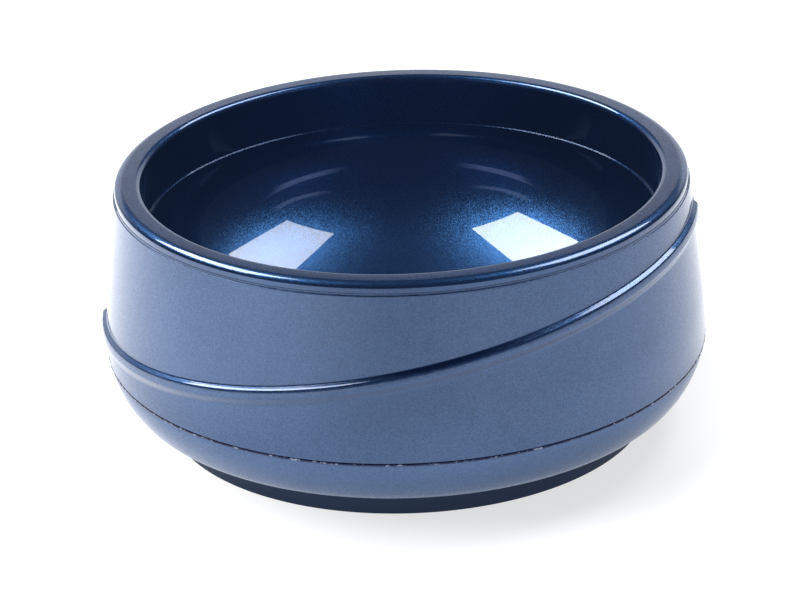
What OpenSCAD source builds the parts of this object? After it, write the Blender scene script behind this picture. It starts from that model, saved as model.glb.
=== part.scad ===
// Double-walled insulated food bowl.
// A thin inner bowl with a flat rim is welded to a flared outer shell, a base cap with a foot ring
// closes the shell from below, and rigid foam fills the space between the walls. A raised band
// rises across the front half of the shell. The origin is the centre of the face it stands on.

/* [Overall] */
// Height from the foot to the top of the rim
height = 55; // [53.5:0.5:57.5]
// Diameter of the rim over its skirt
rim_d = 120.4; // [119.6:0.2:121]
// Widest diameter of the body
body_d = 127.4; // [126:0.2:130]
// Diameter of the foot ring
foot_d = 103.2; // [100:0.2:108]
// Thickness of the moulded walls
wall = 2; // [1.6:0.1:2.2]

/* [Inner bowl] */
// Inside diameter of the straight wall below the rim, where a lid plugs in
mouth_d = 108.4; // [107.6:0.2:109.2]
// Height of the straight wall, from the lid ledge to the rim
mouth_h = 10.9; // [8:0.1:14]
// Width of the lid ledge
ledge_w = 0.6; // [0.3:0.1:1.6]
// Height of the basin floor above the table
floor_z = 14.4; // [13:0.1:20]

/* [Rim] */
// Height of the rim from its top to the seam
rim_h = 2.1; // [2:0.1:2.6]
// Radius of the inner edge of the rim
rim_inner_r = 1.3; // [0.5:0.1:1.5]
// Radius of the outer shoulder of the rim
rim_outer_r = 1.5; // [1:0.1:1.8]
// How far the bead at the shell's top edge stands out from the skirt
bead_out = 0.3; // [0:0.1:0.6]

/* [Base] */
// Height of the weld between the shell and the base cap
weld_z = 17.4; // [15:0.2:18.6]
// Height of the widest part of the body
waist_z = 19.2; // [18.8:0.1:19.8]
// Height of the underside panel inside the foot ring
panel_z = 2.5; // [2:0.1:3]
// Width of the foot ring's standing face
foot_w = 2.7; // [2:0.1:4]

/* [Raised band] */
// Height of the band's top edge on the centre line
band_z = 36.9; // [34:0.1:38]
// Tilt of the band
band_tilt = 10.4; // [6:0.1:11]
// Height of the band
band_h = 3.4; // [2:0.1:4]
// How far the band stands out of the wall
band_out = 1.1; // [0.4:0.1:1.2]

/* [Hidden] */
$fn = 180;
steps = 10;

rim_r = rim_d / 2;
body_r = body_d / 2;
foot_r = foot_d / 2;
mouth_r = mouth_d / 2;
seam_z = height - rim_h;
ledge_z = height - mouth_h;

// The shell's wall: a cone from the top bead down to cone_z, then an arc to upright at the waist.
cone_z = 29.9;
cone_slope = 6.5;
bead_h = 0.5;
groove_h = 0.15;
shoulder_r = (cone_z - waist_z) / sin(cone_slope);
cone_r = body_r - shoulder_r * (1 - cos(cone_slope));
wall_top_z = seam_z - bead_h - groove_h;
wall_top_r = cone_r - (wall_top_z - cone_z) * tan(cone_slope);
bead_r = rim_r + bead_out;

// The base: a large arc from the waist, a tighter one, then a straight slope in to the foot.
base_r = 16.5;
knee_r = 8;
knee_start = 39.5;
knee_end = 70;
foot_chamfer = 0.3;
base_c = [body_r - base_r, waist_z];
knee_c = base_c + (base_r - knee_r) * [cos(knee_start), -sin(knee_start)];

// The joints: a tongue on the shell in a groove under the rim, a lap inside the shell's lower edge.
skirt_w = 0.9;
tongue_w = 1;
tongue_h = 0.7;
groove_depth = 1;
fit_gap = 0.05;
tongue_in = rim_r - skirt_w - fit_gap - tongue_w;
lap_w = 1.2;
lap_h = 2.8;
lap_root_h = 1;
lap_gap = 0.1;
lap_r = body_r - wall - lap_gap;
lap_z = weld_z + lap_h;
lap_root_z = weld_z - lap_root_h;
neck_z = wall_top_z - wall;
bead_weld_r = 0.4;
bead_weld_out = 0.12;
bead_weld_c = [body_r - bead_weld_r + bead_weld_out, weld_z];

// The raised band: the height of its low step above and below the high one, and its depth in the wall
band_shoulder_h = 0.9;
band_foot_h = 0.4;
band_root = 1;

// Outside of the inner bowl behind the straight wall, which is slightly thicker than the rest, and
// the height where the bowl widens to it
liner_extra = 0.1;
liner_r = mouth_r + wall + liner_extra;
liner_z = ledge_z + wall;
basin_a = mouth_r - ledge_w;
basin_b = ledge_z - floor_z;
basin_steps = 30;

// Points of an arc of radius r round c, from angle a to angle b
function arc(c, r, a, b, n = steps) =
    [for (i = [0:n]) let (t = a + (b - a) * i / n) c + r * [cos(t), sin(t)]];

// A list of points without its first one, and a list in the reverse order
function skip_first(points) = [for (i = [1:len(points) - 1]) points[i]];
function backwards(points) = [for (i = [len(points) - 1:-1:0]) points[i]];

// Point of the basin at parameter t (0 at the ledge, 90 at the centre), moved outwards by off
function basin(t, off) =
    let (nx = cos(t) / basin_a, nz = -sin(t) / basin_b, l = norm([nx, nz]))
    [basin_a * cos(t) + off * nx / l, ledge_z - basin_b * sin(t) + off * nz / l];

// Basin curve from the centre up to the ledge
function basin_curve(off) =
    [for (i = [0:basin_steps]) basin(90 - 90 * i / basin_steps, off)];

// Outside of the shell's wall from its top down to the weld, moved inwards by off
function shell_curve(off) = concat(
    [[wall_top_r - off, wall_top_z]],
    arc([body_r - off - shoulder_r, waist_z], shoulder_r, cone_slope, 0),
    [[body_r - off, weld_z]]);

// Outside radius of the shell at height z on the arc
function shell_r(z) = body_r - shoulder_r + sqrt(pow(shoulder_r, 2) - pow(z - waist_z, 2));

// Outside of the base from the weld down to the sloping underside, moved inwards by off
weld_a = -asin((waist_z - weld_z) / base_r);
function base_curve(off) = concat(
    arc(base_c, base_r - off, weld_a, -knee_start),
    skip_first(arc(knee_c, knee_r - off, -knee_start, -knee_end)));

// The sloping underside, moved inwards by off: where it starts, its radius at height z, and its
// height at radius r
function knee_point(off) = knee_c + (knee_r - off) * [cos(knee_end), -sin(knee_end)];
function under_r(off, z) = knee_point(off)[0] - (knee_point(off)[1] - z) * tan(knee_end);
function under_z(off, r) = knee_point(off)[1] - (knee_point(off)[0] - r) / tan(knee_end);

panel_top = panel_z + wall;

module inner_bowl() {
    groove_in = tongue_in - fit_gap;
    groove_out = tongue_in + tongue_w + fit_gap;
    color("midnightblue")
    rotate_extrude()
    polygon(concat(
        basin_curve(0),
        [[mouth_r, ledge_z]],
        arc([mouth_r + rim_inner_r, height - rim_inner_r], rim_inner_r, 180, 90),
        arc([rim_r - rim_outer_r, height - rim_outer_r], rim_outer_r, 90, 0),
        [[rim_r, seam_z], [groove_out, seam_z], [groove_out, seam_z + groove_depth],
         [groove_in, seam_z + groove_depth], [groove_in, seam_z], [liner_r, seam_z],
         [liner_r, liner_z]],
        backwards(basin_curve(wall))));
}

module outer_shell() {
    color("steelblue")
    union() {
        difference() {
            rotate_extrude()
            polygon(concat(
                [[tongue_in, seam_z + tongue_h], [tongue_in + tongue_w, seam_z + tongue_h],
                 [tongue_in + tongue_w, seam_z], [bead_r, seam_z], [bead_r, seam_z - bead_h],
                 [wall_top_r - groove_h, seam_z - bead_h], [wall_top_r - groove_h, wall_top_z]],
                shell_curve(0),
                [for (p = backwards(shell_curve(wall))) if (p[1] < neck_z) p],
                [[tongue_in, neck_z]]));
            base_weld();
        }
        raised_band();
    }
}

// Thicker wall that stands out by out, between depths top and bottom under the band's tilted top
// edge, on the front half only. It reaches into the wall by band_root.
module band_layer(out, top, bottom) {
    slab = 2 * body_d;
    intersection() {
        rotate_extrude()
        polygon(concat(
            shell_curve(-out),
            backwards(shell_curve(band_root))));
        translate([0, 0, band_z])
        rotate([0, -band_tilt, 0])
        translate([-slab / 2, -slab, -bottom])
        cube([slab, slab, bottom - top]);
    }
}

// The band in two steps, a wide low one and a narrower high one, so that its edges are softened
module raised_band() {
    band_layer(band_out / 2, 0, band_h + band_foot_h);
    band_layer(band_out, band_shoulder_h, band_h);
}

module base_cap() {
    color("slategray")
    difference() {
        rotate_extrude()
        polygon(concat(
            [[lap_r, weld_z]],
            base_curve(0),
            [[foot_r, under_z(0, foot_r)], [foot_r, foot_chamfer], [foot_r - foot_chamfer, 0],
             [foot_r - foot_w, 0], [foot_r - foot_w - foot_chamfer, panel_z], [0, panel_z],
             [0, panel_top], [under_r(wall, panel_top), panel_top]],
            [for (p = backwards(base_curve(wall))) if (p[1] < lap_root_z) p],
            [[lap_r - lap_w, lap_root_z], [lap_r - lap_w, lap_z], [lap_r, lap_z]]));
        base_weld();
    }
}

module foam_core() {
    color("khaki")
    rotate_extrude()
    polygon(concat(
        basin_curve(wall),
        [[liner_r, liner_z], [liner_r, seam_z], [tongue_in, seam_z], [tongue_in, neck_z]],
        [for (p = shell_curve(wall)) if (p[1] < neck_z && p[1] > lap_z) p],
        [[shell_r(lap_z) - wall, lap_z], [lap_r - lap_w, lap_z], [lap_r - lap_w, lap_root_z]],
        [for (p = base_curve(wall)) if (p[1] < lap_root_z) p],
        [[under_r(wall, panel_top), panel_top], [0, panel_top]]));
}

// Melted plastic that fills the top of the groove under the rim
module rim_weld() {
    color("navy")
    rotate_extrude()
    translate([tongue_in - fit_gap, seam_z + tongue_h])
    square([tongue_w + 2 * fit_gap, groove_depth - tongue_h]);
}

// Bead of melted plastic round the lower seam
module base_weld() {
    color("navy")
    rotate_extrude()
    translate(bead_weld_c)
    circle(r = bead_weld_r);
}

inner_bowl();
outer_shell();
base_cap();
foam_core();
rim_weld();
base_weld();
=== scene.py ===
"""A double-walled insulated bowl in pearlescent blue plastic, on a white studio floor.

The four pieces that show are built here as smooth, finely rounded solids: the inner bowl, the outer
shell with its raised band, the base cap, and the bead of melted plastic between the last two. The
foam and the hidden rim weld keep their CAD shape and get materials of their own. Outlines are lists
of (radius, height) in millimetres, turned round Z, and the meshes are in metres.
"""

from math import asin, cos, degrees, pi, radians, sin, sqrt, tan

import bmesh
import bpy
from mathutils import Matrix, Vector, noise


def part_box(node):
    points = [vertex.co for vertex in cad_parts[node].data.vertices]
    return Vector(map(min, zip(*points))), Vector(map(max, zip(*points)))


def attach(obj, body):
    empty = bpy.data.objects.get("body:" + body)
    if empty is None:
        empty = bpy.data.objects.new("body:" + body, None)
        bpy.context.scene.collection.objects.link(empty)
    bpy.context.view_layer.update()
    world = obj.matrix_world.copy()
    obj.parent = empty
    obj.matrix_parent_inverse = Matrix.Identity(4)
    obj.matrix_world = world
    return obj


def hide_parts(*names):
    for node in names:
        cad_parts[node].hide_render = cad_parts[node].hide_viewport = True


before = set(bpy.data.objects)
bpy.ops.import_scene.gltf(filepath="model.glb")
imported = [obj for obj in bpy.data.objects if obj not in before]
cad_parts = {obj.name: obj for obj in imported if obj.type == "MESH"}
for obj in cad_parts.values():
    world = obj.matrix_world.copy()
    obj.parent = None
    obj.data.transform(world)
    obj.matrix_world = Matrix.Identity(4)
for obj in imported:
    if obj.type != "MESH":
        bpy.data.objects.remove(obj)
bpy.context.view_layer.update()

# ---------------------------------------------------------------- sizes, from the frame

MM = 0.001


def top_mm(node):
    """The highest corner of a CAD node's box, in millimetres."""
    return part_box(node)[1] / MM


def bottom_mm(node):
    """The lowest corner of a CAD node's box, in millimetres."""
    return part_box(node)[0] / MM


WALL = 2.0
HEIGHT = top_mm("inner_bowl").z
RIM_R = top_mm("inner_bowl").x
TONGUE_TOP = top_mm("outer_shell").z
LAP_TOP = top_mm("base_cap").z
WELD_Z = (top_mm("base_weld").z + bottom_mm("base_weld").z) / 2
WELD_OUT = 0.12
BODY_R = top_mm("base_weld").x - WELD_OUT

# The inner bowl. A shoulder roll is (radius, tilt at its start, tilt at its end) in degrees.
MOUTH_R = 54.2
LEDGE_W = 0.6
LEDGE_Z = HEIGHT - 10.9
LIP_R = 1.3
SHOULDER_ROLLS = ((2.4, 90, 68), (2.6, 68, 52), (0.9, 52, 0))
MOUTH_DRAFT = 0.25
SEAM_Z = HEIGHT - 2.1
FLOOR_Z = bottom_mm("inner_bowl").z + WALL

# The joint under the rim: a tongue in a groove, and the bead that tops the shell
TONGUE_W = 1
TONGUE_IN = RIM_R - 0.95 - TONGUE_W
TONGUE_OUT = TONGUE_IN + TONGUE_W
FIT_GAP = 0.05
LINER_R = MOUTH_R + WALL + 0.1
GROOVE_Z = top_mm("rim_weld").z
BEAD_R = RIM_R + 0.15
BEAD_H = 0.5
NOTCH_H = 0.1
NOTCH_IN = 0.02

# The shell's wall: a cone down to CONE_Z, then an arc to upright at the waist
WAIST_Z = 19.2
CONE_Z = 29.9
CONE_SLOPE = radians(6.5)
WALL_TOP_Z = SEAM_Z - BEAD_H - NOTCH_H
WALL_ARC_R = (CONE_Z - WAIST_Z) / sin(CONE_SLOPE)
NECK_Z = WALL_TOP_Z - WALL

# The base: a large arc, a tighter knee, a slope and the foot ring
BASE_ARC_R = 16.5
KNEE_R = 8.0
KNEE_START = radians(39.5)
KNEE_END = radians(70)
FOOT_R = 51.6
FOOT_W = 2.7
PANEL_Z = 2.5
LAP_R = BODY_R - WALL - 0.1
LAP_W = 1.2
LAP_ROOT_Z = WELD_Z - 1

# The raised band on the front half of the shell. Below its top edge it has a hollow, a bevel that
# faces up, a roll and an upright face, which ends at BAND_FACE_END and has died away at BAND_END.
BAND_Z = 36.9
BAND_TILT = radians(10.4)
BAND_HOLLOW_R = 0.4
BAND_BEVEL_R = 5.0
BAND_BEVEL_TOP = radians(66)
BAND_BEVEL_FOOT = radians(57)
BAND_ROLL_OUT = 0.24
BAND_ROLL_DOWN = 1.15
BAND_ROLL_START = radians(7.7)
BAND_FACE_END = 2.0
BAND_END = 4.6

# Its ends, in degrees round Z: it rises within BAND_START at the left. At the right it rounds down
# to BAND_TAIL of its height over the last degree, and tails off over BAND_FADE.
BAND_LEFT = -178.0
BAND_START = 0.5
BAND_RIGHT = -2.0
BAND_TAIL = 0.45
BAND_FADE = 5.0

# The bead of melted plastic along the lower seam
WELD_BEAD_R = 0.4
WELD_BEAD_IN = 0.3
WELD_BEAD_DOWN = 0.05

# The camera: metres from the axis and above the floor, angles, and the lens in millimetres
CAMERA_BACK = 0.68645
CAMERA_UP = 0.33208
CAMERA_AROUND = radians(3.2)
CAMERA_TURN = radians(3.2953)
CAMERA_PITCH = radians(24.129)
CAMERA_ROLL = radians(-2.1293)
CAMERA_LENS = 158.72

# The right-hand softbox, in metres, seen from the camera's side. The left one is its mirror image.
SOFTBOX_CENTRE = (0.547, 0.438, 0.96)
SOFTBOX_ALONG = (0.09, 0.885, -0.457)
SOFTBOX_SIZE = (0.665, 0.365)
SOFTBOX_RIGHT_WATTS = 6.9
SOFTBOX_LEFT_WATTS = 11.3

# ---------------------------------------------------------------- outlines


def spread(start, end, steps):
    """Evenly spaced numbers from start to end, both included."""
    return [start + (end - start) * i / steps for i in range(steps + 1)]


def arc(centre, radius, start, end, steps=8):
    """Points of an arc from the angle start to the angle end."""
    return [
        (centre[0] + radius * cos(a), centre[1] + radius * sin(a))
        for a in spread(start, end, steps)
    ]


def fillet(before, corner, after, radius, steps=6):
    """The corner between two straight lines, rounded by an arc that touches both."""
    here = Vector(corner)
    one = (Vector(before) - here).normalized()
    two = (Vector(after) - here).normalized()
    half = one.angle(two) / 2
    centre = here + (one + two).normalized() * radius / sin(half)
    first = here + one * radius / tan(half) - centre
    turn = pi - 2 * half
    if first.x * two.y - first.y * two.x < 0:
        turn = -turn
    return [tuple(centre + Matrix.Rotation(a, 2) @ first) for a in spread(0, turn, steps)]


def rounded(points):
    """A closed outline through (r, z) or (r, z, radius) points, with a fillet at the latter."""
    outline = []
    for i, point in enumerate(points):
        if len(point) == 2:
            outline.append(point)
        else:
            before = points[i - 1][:2]
            after = points[(i + 1) % len(points)][:2]
            outline += fillet(before, point[:2], after, point[2])
    return outline


def basin(off, steps=72):
    """The basin's ellipse from its centre up to the ledge, moved outwards by off."""
    a, b = MOUTH_R - LEDGE_W, LEDGE_Z - FLOOR_Z
    points = []
    for t in spread(pi / 2, 0, steps):
        normal = Vector((cos(t) / a, -sin(t) / b)).normalized()
        points.append((a * cos(t) + off * normal.x, LEDGE_Z - b * sin(t) + off * normal.y))
    points[0] = (0, points[0][1])
    return points


def wall_r(z):
    """The outside radius of the shell at height z."""
    if z < WAIST_Z:
        return BODY_R
    if z < CONE_Z:
        return BODY_R - WALL_ARC_R + sqrt(WALL_ARC_R**2 - (z - WAIST_Z) ** 2)
    return BODY_R - WALL_ARC_R * (1 - cos(CONE_SLOPE)) - (z - CONE_Z) * tan(CONE_SLOPE)


def base_curve(off, steps=24):
    """The outside of the base from the weld to the start of the slope, moved inwards by off."""
    big = Vector((BODY_R - BASE_ARC_R, WAIST_Z))
    knee = big + (BASE_ARC_R - KNEE_R) * Vector((cos(KNEE_START), -sin(KNEE_START)))
    start = -asin((WAIST_Z - WELD_Z) / BASE_ARC_R)
    points = arc(big, BASE_ARC_R - off, start, -KNEE_START, steps)
    return points + arc(knee, KNEE_R - off, -KNEE_START, -KNEE_END, steps // 2)[1:]


def on_slope(point, r=None, z=None):
    """The point of the sloping underside, which starts at point, at radius r or height z."""
    if z is None:
        return (r, point[1] - (point[0] - r) / tan(KNEE_END))
    return (point[0] - (point[1] - z) * tan(KNEE_END), z)


# ---------------------------------------------------------------- the raised band


def smooth(x):
    """0 below 0, 1 above 1, and an S-curve between."""
    x = min(1.0, max(0.0, x))
    return x * x * (3 - 2 * x)


def band_top(angle):
    """Height of the band's top edge at an angle: a tilted plane cuts the wall there."""
    z = BAND_Z
    for _ in range(4):
        z = BAND_Z + wall_r(z) * cos(angle) * tan(BAND_TILT)
    return z


def band_strength(angle):
    """1 along the band, 0 on the back, and between the two at the band's ends."""
    turn = (degrees(angle) + 180) % 360 - 180
    past = turn - BAND_RIGHT
    if 0 < past < BAND_FADE:
        return BAND_TAIL * (1 - past / BAND_FADE)
    if -1 < past <= 0:
        return BAND_TAIL + (1 - BAND_TAIL) * sqrt(1 - (1 + past) ** 2)
    if past <= -1:
        return smooth((turn - BAND_LEFT) / BAND_START)
    return 0.0


def turn_through(points, radius, start, end, steps):
    """Adds an arc to (out, depth) points, along which the surface's tilt goes from start to end.

    The tilt is 0 where the surface is upright and 90 degrees where it faces up. The arc is hollow
    where the tilt grows and rounded where it falls.
    """
    out, depth = points[-1]
    way = 1 if end > start else -1
    for tilt in spread(start, end, steps)[1:]:
        step_out = way * radius * (cos(start) - cos(tilt))
        step_down = way * radius * (sin(tilt) - sin(start))
        points.append((out + step_out, depth + step_down))


def band_section():
    """The band's section from its top edge down: (how far it stands out, depth) points."""
    points = [(0.0, 0.0)]
    turn_through(points, BAND_HOLLOW_R, 0, BAND_BEVEL_TOP, 8)
    turn_through(points, BAND_BEVEL_R, BAND_BEVEL_TOP, BAND_BEVEL_FOOT, 8)
    out, depth = points[-1]
    for t in spread(BAND_ROLL_START, pi / 2, 12)[1:]:
        step_out = BAND_ROLL_OUT * (sin(t) - sin(BAND_ROLL_START))
        step_down = BAND_ROLL_DOWN * (cos(BAND_ROLL_START) - cos(t))
        points.append((out + step_out, depth + step_down))
    out, depth = points[-1]
    points.append((out, (depth + BAND_FACE_END) / 2))
    for d in spread(BAND_FACE_END, BAND_END, 14):
        fall = smooth((d - BAND_FACE_END) / (BAND_END - BAND_FACE_END))
        points.append((out * (1 - fall), d))
    return points


BAND_SECTION = band_section()


def shell_side(angle, steps=28):
    """The outside of the shell at an angle, from its top notch down to the weld."""
    top = band_top(angle)
    strength = band_strength(angle)
    above = [(wall_r(z), z) for z in spread(WALL_TOP_Z, top, steps)[1:]]
    band = [(wall_r(top - d) + strength * out, top - d) for out, d in BAND_SECTION[1:]]
    below = [(wall_r(z), z) for z in spread(top - BAND_END, WELD_Z + 0.3, steps)[1:]]
    return above + band + below


# ---------------------------------------------------------------- meshes


def lathe(name, outline_at, angles):
    """A solid turned round Z. outline_at(angle) is its closed outline there, with equal counts."""
    shape = bmesh.new()
    columns, poles = [], {}
    for angle in angles:
        column = []
        for i, (r, z) in enumerate(outline_at(angle)):
            if r == 0:
                poles[i] = poles.get(i) or shape.verts.new((0, 0, z * MM))
                column.append(poles[i])
            else:
                column.append(shape.verts.new((r * cos(angle) * MM, r * sin(angle) * MM, z * MM)))
        columns.append(column)
    for here, there in zip(columns, columns[1:] + columns[:1]):
        for i in range(len(here)):
            corners = list(dict.fromkeys([here[i - 1], there[i - 1], there[i], here[i]]))
            if len(corners) > 2:
                shape.faces.new(corners)
    bmesh.ops.recalc_face_normals(shape, faces=shape.faces)
    mesh = bpy.data.meshes.new(name)
    shape.to_mesh(mesh)
    shape.free()
    mesh.shade_smooth()
    mesh.set_sharp_from_angle(angle=radians(40))
    piece = bpy.data.objects.new(name, mesh)
    bpy.context.scene.collection.objects.link(piece)
    crisp = piece.modifiers.new("flat faces stay flat", "WEIGHTED_NORMAL")
    crisp.keep_sharp = True
    return piece


ROUND = [radians(a) for a in spread(-180, 180, 288)[:-1]]


def make_inner_bowl():
    """The basin, the ledge, the slightly flared mouth, the flat rim and the skirt with its groove."""
    groove_in, groove_out = TONGUE_IN - FIT_GAP, TONGUE_OUT + FIT_GAP
    lip = arc((MOUTH_R + MOUTH_DRAFT + LIP_R, HEIGHT - LIP_R), LIP_R, pi, pi / 2)
    rolls = [(0.0, 0.0)]
    for radius, start, end in SHOULDER_ROLLS:
        turn_through(rolls, radius, radians(start), radians(end), 6)
    shoulder = [(RIM_R - rolls[-1][0] + out, HEIGHT - depth) for out, depth in rolls]
    edges = rounded(
        [
            basin(0)[-2],
            (MOUTH_R - LEDGE_W, LEDGE_Z, 0.1),
            (MOUTH_R - MOUTH_DRAFT, LEDGE_Z, 0.1),
            (MOUTH_R + MOUTH_DRAFT, HEIGHT - LIP_R),
        ]
    )[1:-1]
    skirt = rounded(
        [
            shoulder[-1],
            (RIM_R, SEAM_Z, 0.05),
            (groove_out, SEAM_Z),
            (groove_out, GROOVE_Z),
            (groove_in, GROOVE_Z),
            (groove_in, SEAM_Z),
            (LINER_R, SEAM_Z),
            (LINER_R, LEDGE_Z + WALL),
        ]
    )[1:]
    outline = basin(0)[:-1] + edges + lip + shoulder + skirt + basin(WALL)[::-1]
    return lathe("inner_bowl_skin", lambda angle: outline, ROUND)


def make_outer_shell():
    """The side wall with its band, from the tongue under the rim down to the weld."""
    notch_r = wall_r(WALL_TOP_Z) - NOTCH_IN
    head = rounded(
        [
            (TONGUE_IN, NECK_Z),
            (TONGUE_IN, TONGUE_TOP),
            (TONGUE_OUT, TONGUE_TOP),
            (TONGUE_OUT, SEAM_Z),
            (BEAD_R, SEAM_Z, 0.07),
            (BEAD_R, SEAM_Z - BEAD_H, 0.12),
            (notch_r, SEAM_Z - BEAD_H),
            (notch_r, WALL_TOP_Z),
            (wall_r(WALL_TOP_Z), WALL_TOP_Z, 0.04),
            (wall_r(NECK_Z), NECK_Z),
        ]
    )[:-1]
    inside = [(wall_r(z) - WALL, z) for z in spread(WELD_Z, NECK_Z, 24)]
    foot = rounded([(BODY_R, WAIST_Z), (BODY_R, WELD_Z, 0.28), inside[0]])[1:-1]

    def outline_at(angle):
        return head + shell_side(angle) + foot + inside

    fine = spread(BAND_RIGHT - 1.2, BAND_RIGHT + 0.3, 14)
    fine += spread(BAND_LEFT - 0.1, BAND_LEFT + 0.6, 8)
    angles = sorted({round(a, 4) for a in spread(-180, 180, 320)[:-1] + fine})
    return lathe("outer_shell_skin", outline_at, [radians(a) for a in angles])


def make_base_cap():
    """The lower wall, the slope, the foot ring and the closed underside, with the lap inside."""
    outside, inside = base_curve(0), base_curve(WALL)
    step = on_slope(outside[-1], r=FOOT_R)
    floor_top = PANEL_Z + WALL
    foot = rounded(
        [
            outside[-1],
            (*step, 0.4),
            (FOOT_R, 0, 0.25),
            (FOOT_R - FOOT_W, 0, 0.3),
            (FOOT_R - FOOT_W - 0.5, PANEL_Z, 0.4),
            (0, PANEL_Z),
        ]
    )[1:-1]
    head = rounded([(LAP_R, WELD_Z), (*outside[0], 0.1), outside[2]])[:-1]
    under = [(0, PANEL_Z), (0, floor_top), on_slope(inside[-1], z=floor_top)]
    rise = [p for p in inside[::-1] if p[1] < LAP_ROOT_Z]
    lap = [(LAP_R - LAP_W, LAP_ROOT_Z), (LAP_R - LAP_W, LAP_TOP), (LAP_R, LAP_TOP)]
    outline = head + outside[2:] + foot + under + rise + lap
    return lathe("base_cap_skin", lambda angle: outline, ROUND)


def make_base_weld():
    """The bead along the lower seam. Its edge wanders and swells a little, as melted plastic does."""
    angles = [radians(a) for a in spread(-180, 180, 1440)[:-1]]

    def outline_at(angle):
        round_the_bowl = Vector((cos(angle), sin(angle), 0))
        wander = noise.noise(round_the_bowl * 14)
        ripple = noise.noise(round_the_bowl * 70 + Vector((5, 0, 0)))
        centre = (
            BODY_R - WELD_BEAD_IN + 0.03 * ripple,
            WELD_Z - WELD_BEAD_DOWN + 0.06 * wander,
        )
        return arc(centre, WELD_BEAD_R + 0.05 * wander + 0.05 * ripple, 0, 2 * pi, 12)[:-1]

    return lathe("base_weld_skin", outline_at, angles)


# ---------------------------------------------------------------- materials


def new_material(name):
    """A new node material, its node tree and its Principled shader."""
    material = bpy.data.materials.new(name)
    material.use_nodes = True
    tree = material.node_tree
    shader = tree.nodes["Principled BSDF"]
    return material, tree, shader


def add_node(tree, kind, **settings):
    """A new node, with attributes or, where there is none of that name, input values set."""
    made = tree.nodes.new(kind)
    for key, value in settings.items():
        if hasattr(made, key):
            setattr(made, key, value)
        else:
            made.inputs[key.replace("_", " ").title()].default_value = value
    return made


def ramp_between(tree, factor, low, high, at=(0.0, 1.0)):
    """A colour ramp from low to high between two positions of factor."""
    ramp = tree.nodes.new("ShaderNodeValToRGB")
    for element, place, colour in zip(ramp.color_ramp.elements, at, (low, high)):
        element.position = place
        element.color = (*colour, 1)
    tree.links.new(factor, ramp.inputs["Fac"])
    return ramp.outputs["Color"]


def vector_math(tree, operation, one, two):
    """One Vector Math node. Each side is a socket or a plain value."""
    made = add_node(tree, "ShaderNodeVectorMath", operation=operation)
    for socket, value in zip(made.inputs, (one, two)):
        if isinstance(value, bpy.types.NodeSocket):
            tree.links.new(value, socket)
        elif value is not None:
            socket.default_value = value
    return made.outputs["Vector"]


def math_node(tree, operation, one, two):
    """One Math node. Each side is a socket or a plain number."""
    made = add_node(tree, "ShaderNodeMath", operation=operation)
    for socket, value in zip(made.inputs, (one, two)):
        if isinstance(value, bpy.types.NodeSocket):
            tree.links.new(value, socket)
        else:
            socket.default_value = value
    return made.outputs["Value"]


def fade(tree, value, start, end):
    """0 where value is at start, 1 where it is at end, and soft between."""
    made = add_node(tree, "ShaderNodeMapRange", interpolation_type="SMOOTHSTEP")
    made.inputs["From Min"].default_value = start
    made.inputs["From Max"].default_value = end
    tree.links.new(value, made.inputs["Value"])
    return made.outputs["Result"]


def split(tree, coordinates, name):
    """The X, Y and Z of one output of a Texture Coordinate node."""
    made = tree.nodes.new("ShaderNodeSeparateXYZ")
    tree.links.new(coordinates.outputs[name], made.inputs[0])
    return made.outputs


def flakes(tree, place, size, tilt):
    """Metal flakes: a cell pattern of that size whose cells each lean a random way, up to tilt."""
    cells = add_node(tree, "ShaderNodeTexVoronoi", scale=1 / size)
    tree.links.new(place, cells.inputs["Vector"])
    geometry = tree.nodes.new("ShaderNodeNewGeometry")
    lean = vector_math(tree, "SUBTRACT", cells.outputs["Color"], (0.5, 0.5, 0.5))
    lean = vector_math(tree, "MULTIPLY", lean, (tilt, tilt, tilt))
    leaning = vector_math(tree, "ADD", geometry.outputs["Normal"], lean)
    return cells.outputs["Color"], vector_math(tree, "NORMALIZE", leaning, None)


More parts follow.
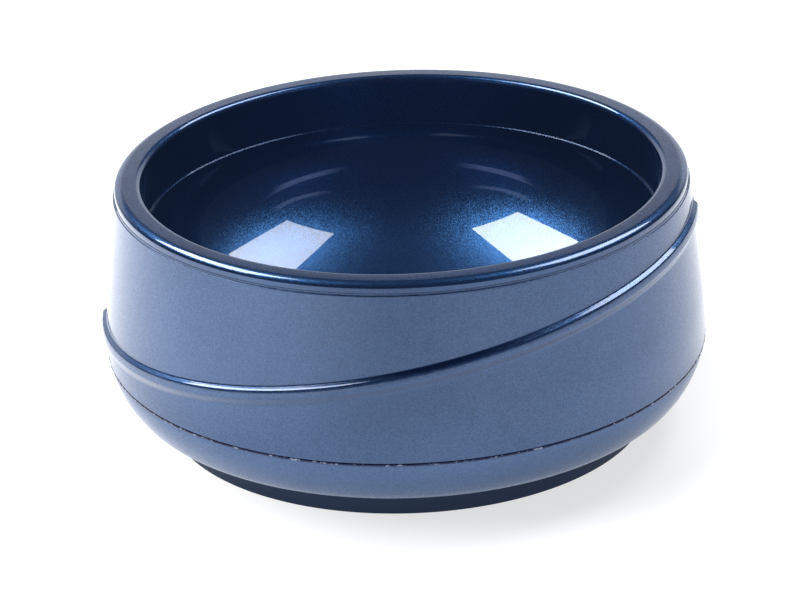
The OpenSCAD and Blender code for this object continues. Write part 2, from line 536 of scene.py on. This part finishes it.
def pearl_plastic(name, dark, light, rough, coat, coat_rough, tilt, size, painted_glow=0, painted_shade_below=None):
    """Blue plastic filled with metal flakes under a clear glossy skin.

    dark and light are the colours of the flakes, tilt and size how far they lean and how large they
    are, in metres. rough is for the flakes, coat and coat_rough for the skin. glow is painted light,
    a faint blue emission that lifts the plastic in place of fill light. thin is a pair of heights in
    millimetres for painted shade at the foot: below the first the plastic is painted dark and its
    coat is weaker, and above the second the shade is gone.
    """
    material, tree, shader = new_material(name)
    coordinates = tree.nodes.new("ShaderNodeTexCoord")
    place = coordinates.outputs["Object"]
    sparkle, leaning = flakes(tree, place, size, tilt)
    flow = add_node(tree, "ShaderNodeTexNoise", scale=45.0, detail=3.0)
    tree.links.new(place, flow.inputs["Vector"])
    mix = add_node(tree, "ShaderNodeMixRGB", blend_type="MIX")
    mix.inputs["Fac"].default_value = 0.4
    tree.links.new(sparkle, mix.inputs["Color1"])
    tree.links.new(flow.outputs["Fac"], mix.inputs["Color2"])
    colour = ramp_between(tree, mix.outputs["Color"], dark, light, (0.25, 0.75))
    # Painted shade at the foot: below the given heights the colour is painted dark and the coat
    # weakened.
    if painted_shade_below:
        painted_shade_mix = add_node(tree, "ShaderNodeMixRGB", blend_type="MIX")
        unshaded = fade(tree, split(tree, coordinates, "Object")["Z"], *(z * MM for z in painted_shade_below))
        tree.links.new(unshaded, painted_shade_mix.inputs["Fac"])
        painted_shade_mix.inputs["Color1"].default_value = (*(c * 0.35 for c in dark), 1)
        tree.links.new(colour, painted_shade_mix.inputs["Color2"])
        colour = painted_shade_mix.outputs["Color"]
        skin = math_node(tree, "MULTIPLY", math_node(tree, "ADD", unshaded, 0.6), coat / 1.6)
        tree.links.new(skin, shader.inputs["Coat Weight"])
    tree.links.new(colour, shader.inputs["Base Color"])
    tree.links.new(leaning, shader.inputs["Normal"])
    shader.inputs["Metallic"].default_value = 0.9
    shader.inputs["Specular Tint"].default_value = (0.7, 0.75, 0.85, 1)
    shader.inputs["Roughness"].default_value = rough
    shader.inputs["Coat Weight"].default_value = coat
    shader.inputs["Coat Roughness"].default_value = coat_rough
    shader.inputs["Coat IOR"].default_value = 1.5
    # Painted light: the glow is a faint blue emission in place of fill light.
    shader.inputs["Emission Color"].default_value = (0.25, 0.46, 1.0, 1)
    shader.inputs["Emission Strength"].default_value = painted_glow
    return material


def foam_material():
    """Yellowish rigid foam with fine open cells."""
    material, tree, shader = new_material("rigid_foam")
    place = tree.nodes.new("ShaderNodeTexCoord").outputs["Object"]
    cells = add_node(tree, "ShaderNodeTexVoronoi", scale=1400.0)
    tree.links.new(place, cells.inputs["Vector"])
    colour = ramp_between(
        tree, cells.outputs["Distance"], (0.55, 0.42, 0.2), (0.82, 0.72, 0.46), (0.1, 0.7)
    )
    tree.links.new(colour, shader.inputs["Base Color"])
    bump = add_node(tree, "ShaderNodeBump", strength=0.6, distance=0.0003)
    tree.links.new(cells.outputs["Distance"], bump.inputs["Height"])
    tree.links.new(bump.outputs["Normal"], shader.inputs["Normal"])
    shader.inputs["Roughness"].default_value = 0.9
    return material


def weld_material(name):
    """Remelted plastic: darker than the walls, with pale flecks, glossy and slightly rippled."""
    material, tree, shader = new_material(name)
    place = tree.nodes.new("ShaderNodeTexCoord").outputs["Object"]
    ripple = add_node(tree, "ShaderNodeTexNoise", scale=900.0, detail=4.0)
    tree.links.new(place, ripple.inputs["Vector"])
    colour = ramp_between(
        tree, ripple.outputs["Fac"], (0.005, 0.011, 0.055), (0.6, 0.7, 0.85), (0.57, 0.8)
    )
    tree.links.new(colour, shader.inputs["Base Color"])
    bump = add_node(tree, "ShaderNodeBump", strength=0.5, distance=0.0001)
    tree.links.new(ripple.outputs["Fac"], bump.inputs["Height"])
    tree.links.new(bump.outputs["Normal"], shader.inputs["Normal"])
    shader.inputs["Metallic"].default_value = 0.8
    shader.inputs["Roughness"].default_value = 0.3
    shader.inputs["Coat Weight"].default_value = 0.3
    return material


def dress(piece, material):
    """Gives a piece its material."""
    if piece.data.materials:
        for own in piece.material_slots:
            own.material = material
    else:
        piece.data.materials.append(material)


# ---------------------------------------------------------------- the studio


def make_floor():
    """A wide white floor that glows, less where the bowl shades it and more at both sides."""
    size = 20.0
    mesh = bpy.data.meshes.new("floor")
    corners = [(-size, -size, 0), (size, -size, 0), (size, size, 0), (-size, size, 0)]
    mesh.from_pydata(corners, [], [(0, 1, 2, 3)])
    floor = bpy.data.objects.new("floor", mesh)
    bpy.context.scene.collection.objects.link(floor)
    material, tree, shader = new_material("floor_paint")
    shader.inputs["Base Color"].default_value = (0.3, 0.3, 0.3, 1)
    shader.inputs["Roughness"].default_value = 0.9
    shader.inputs["Specular IOR Level"].default_value = 0.0
    shader.inputs["Emission Color"].default_value = (1, 1, 1, 1)
    coordinates = tree.nodes.new("ShaderNodeTexCoord")
    shaded = add_node(tree, "ShaderNodeVectorMath", operation="DISTANCE")
    shaded.inputs[1].default_value = (0.015, 0.005, 0)
    tree.links.new(coordinates.outputs["Object"], shaded.inputs[0])
    across = split(tree, coordinates, "Object")["X"]
    painted_glow = 0.7
    # Painted shadow near the bowl and painted light at both sides, on top of an even glow.
    for brighter, where in (
        (0.35, fade(tree, shaded.outputs["Value"], 0.056, 0.08)),
        (0.9, fade(tree, across, 0.0, -0.16)),
        (0.2, fade(tree, across, 0.05, 0.075)),
    ):
        painted_glow = math_node(tree, "ADD", painted_glow, math_node(tree, "MULTIPLY", where, brighter))
    tree.links.new(painted_glow, shader.inputs["Emission Strength"])
    mesh.materials.append(material)


def lit_patch(tree, colour, edges):
    """A Background shader that shines where every one of (value, start, end) has faded in."""
    patch = tree.nodes.new("ShaderNodeBackground")
    patch.inputs["Color"].default_value = (*colour, 1)
    light = 1.0
    for value, start, end in edges:
        light = math_node(tree, "MULTIPLY", light, fade(tree, value, start, end))
    tree.links.new(light, patch.inputs["Strength"])
    return patch.outputs[0]


def make_surroundings():
    """A dark bluish studio: a white backdrop low behind the bowl and two bluish strips in front.

    An edge is (value, start, end), see lit_patch. The values are parts of the direction that light
    comes from, with y away from the camera.
    """
    world = bpy.data.worlds.new("studio")
    bpy.context.scene.world = world
    world.use_nodes = True
    tree = world.node_tree
    turned = add_node(tree, "ShaderNodeMapping", vector_type="NORMAL")
    turned.inputs["Rotation"].default_value = (0, 0, -CAMERA_AROUND)
    tree.links.new(tree.nodes.new("ShaderNodeTexCoord").outputs["Generated"], turned.inputs[0])
    parts = tree.nodes.new("ShaderNodeSeparateXYZ")
    tree.links.new(turned.outputs[0], parts.inputs[0])
    x, y, z = parts.outputs
    side = math_node(tree, "ABSOLUTE", x, 0)
    slant = math_node(tree, "ADD", z, math_node(tree, "MULTIPLY", side, 0.33))
    front = (y, 0.0, -0.1)
    backdrop = ((z, 0.425, 0.335), (y, 0.0, 0.4), (x, 0.7, 0.4), (x, -0.8, -0.45))
    low_strip = ((z, 0.535, 0.55), (z, 0.62, 0.6), (side, 0.36, 0.6), (side, 0.8, 0.72), front)
    high_strip = (
        (slant, 0.942, 0.95),
        (slant, 0.972, 0.964),
        (side, 0.4, 0.55),
        (side, 0.72, 0.66),
        front,
    )
    dark = tree.nodes["Background"]
    dark.inputs["Color"].default_value = (0.05, 0.065, 0.13, 1)
    total = dark.outputs[0]
    for colour, edges in (
        ((0.87, 0.88, 0.9), backdrop),
        ((0.8, 1.1, 2.0), low_strip),
        ((0.7, 0.95, 1.7), high_strip),
    ):
        both = tree.nodes.new("ShaderNodeAddShader")
        tree.links.new(total, both.inputs[0])
        tree.links.new(lit_patch(tree, colour, edges), both.inputs[1])
        total = both.outputs[0]
    tree.links.new(total, tree.nodes["World Output"].inputs["Surface"])


def make_softbox(name, mirror, watts):
    """A rectangular lamp that faces the bowl. mirror is 1 on the right and -1 on the left."""
    around = Matrix.Rotation(CAMERA_AROUND, 3, "Z")
    centre = around @ (Vector(SOFTBOX_CENTRE) * Vector((mirror, 1, 1)))
    along = around @ (Vector(SOFTBOX_ALONG) * Vector((mirror, 1, 1)))
    lamp = bpy.data.lights.new(name, "AREA")
    lamp.shape = "RECTANGLE"
    lamp.size, lamp.size_y = SOFTBOX_SIZE
    lamp.energy = watts
    back = (centre - Vector((0, 0, HEIGHT / 2 * MM))).normalized()
    side = (along - along.dot(back) * back).normalized()
    turn = Matrix((side, back.cross(side), back)).transposed().to_4x4()
    piece = bpy.data.objects.new(name, lamp)
    piece.matrix_world = Matrix.Translation(centre) @ turn
    piece.visible_camera = False
    bpy.context.scene.collection.objects.link(piece)


def make_camera():
    """The camera, which looks down on the front of the bowl."""
    data = bpy.data.cameras.new("camera")
    data.sensor_width = 36
    data.lens = CAMERA_LENS
    data.clip_start = 0.01
    camera = bpy.data.objects.new("camera", data)
    place = Matrix.Rotation(CAMERA_AROUND, 4, "Z") @ Vector((0, -CAMERA_BACK, CAMERA_UP))
    turn = Matrix.Rotation(CAMERA_TURN, 4, "Z")
    turn = turn @ Matrix.Rotation(pi / 2 - CAMERA_PITCH, 4, "X")
    turn = turn @ Matrix.Rotation(CAMERA_ROLL, 4, "Z")
    camera.matrix_world = Matrix.Translation(place) @ turn
    bpy.context.scene.collection.objects.link(camera)
    bpy.context.scene.camera = camera


def build():
    """Every piece, its material, and the studio."""
    gloss = pearl_plastic(
        "inner_pearl",
        dark=(0.004, 0.018, 0.055),
        light=(0.018, 0.075, 0.2),
        rough=0.31,
        coat=1.0,
        coat_rough=0.02,
        tilt=0.15,
        size=0.00012,
        # painted light: a faint blue glow lifts the dark inside of the bowl
        painted_glow=0.014,
    )
    satin = pearl_plastic(
        "shell_pearl",
        dark=(0.02, 0.052, 0.128),
        light=(0.047, 0.1, 0.218),
        rough=0.36,
        coat=0.8,
        coat_rough=0.05,
        tilt=0.18,
        size=0.00018,
    )
    base = pearl_plastic(
        "base_pearl",
        dark=(0.04, 0.082, 0.182),
        light=(0.08, 0.146, 0.285),
        rough=0.42,
        coat=0.6,
        coat_rough=0.1,
        tilt=0.25,
        size=0.00018,
        # painted shade on the foot ring, fading out between these heights
        painted_shade_below=(3.4, 5.2),
    )
    weld = weld_material("remelted_plastic")
    parts = [
        (make_inner_bowl(), "inner_bowl", gloss, "inner_plastic"),
        (make_outer_shell(), "outer_shell", satin, "shell_plastic"),
        (make_base_cap(), "base_cap", base, "base_plastic"),
        (make_base_weld(), "base_weld", weld, "weld_plastic"),
    ]
    for piece, node, material, slot in parts:
        dress(piece, material)
        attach(piece, "root")
        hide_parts(node)
    dress(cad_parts["foam_core"], foam_material())
    dress(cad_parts["rim_weld"], weld)

    make_floor()
    make_surroundings()
    make_softbox("softbox_right", 1, SOFTBOX_RIGHT_WATTS)
    make_softbox("softbox_left", -1, SOFTBOX_LEFT_WATTS)
    make_camera()
    bpy.context.scene.view_settings.view_transform = "Standard"


build()
